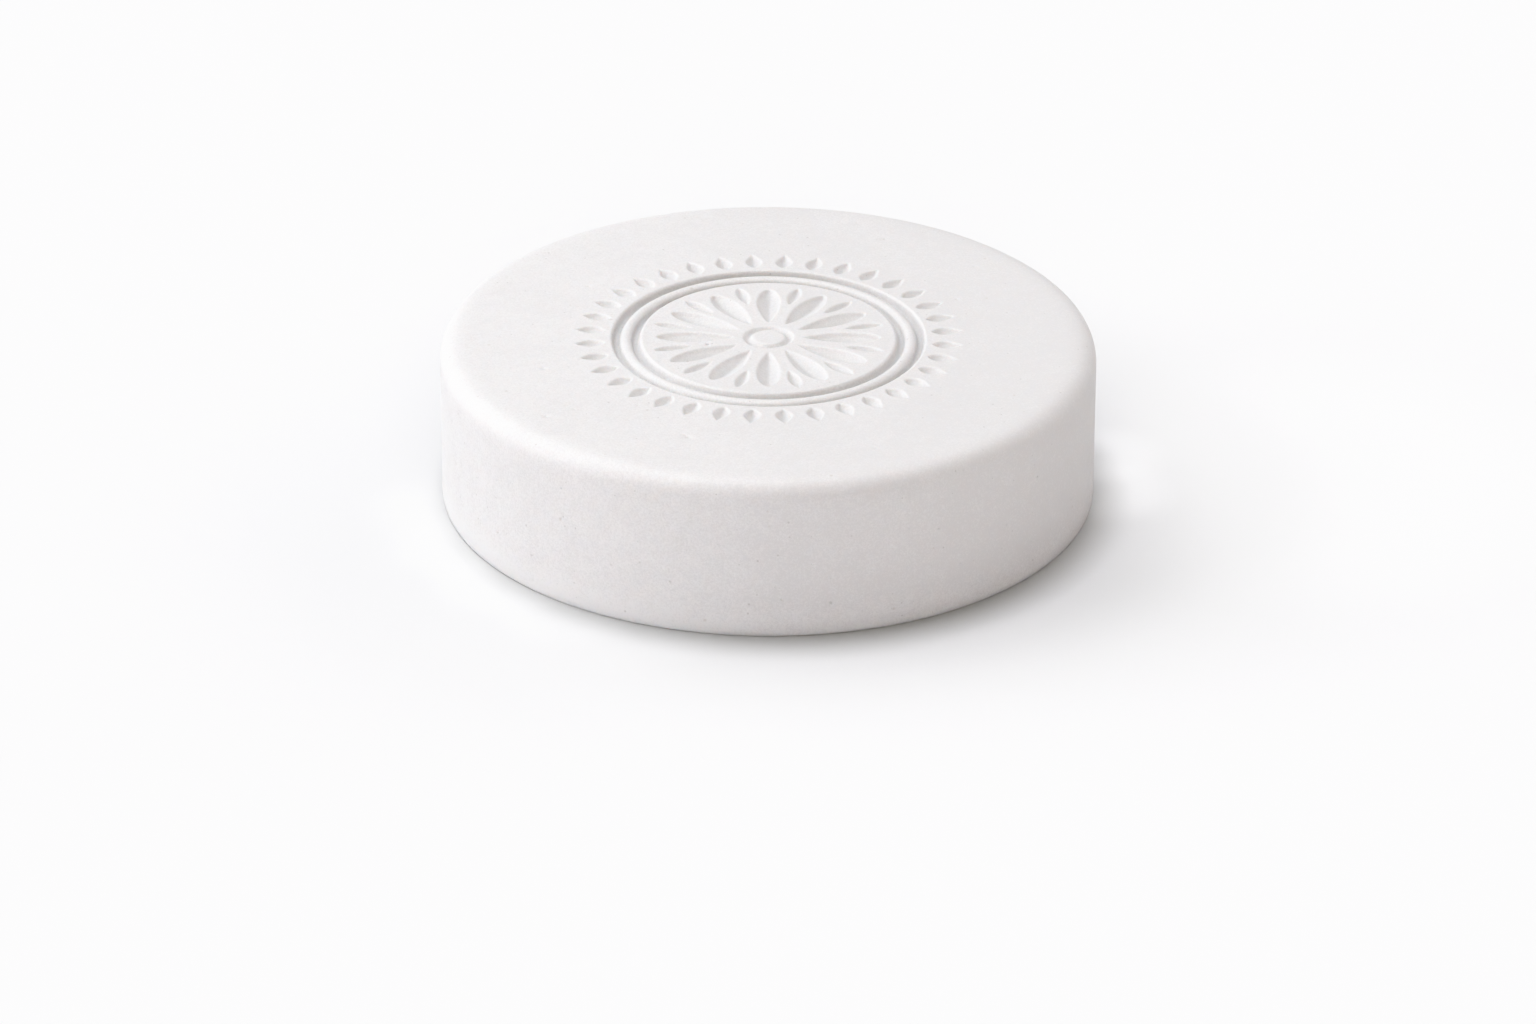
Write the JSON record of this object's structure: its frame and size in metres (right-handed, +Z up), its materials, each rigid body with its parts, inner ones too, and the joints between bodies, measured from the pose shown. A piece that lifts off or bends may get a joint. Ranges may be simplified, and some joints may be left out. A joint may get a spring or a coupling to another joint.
{
  "type": "shaving soap puck",
  "caption": "Round cake of pressed white clay soap with a softly rounded upper edge and a shallow pressed rosette medallion on its flat top.",
  "frame": {"origin": "centre of the base, on the surface that the puck rests on", "axes": "+Z up along the puck's axis; +X and +Y lie across it, each along a petal of the rosette"},
  "size_m": [0.078, 0.078, 0.0195],
  "materials": {
    "soap": "matte"
  },
  "bodies": {
    "root": {"soap_puck": "soap"}
  },
  "joints": []
}
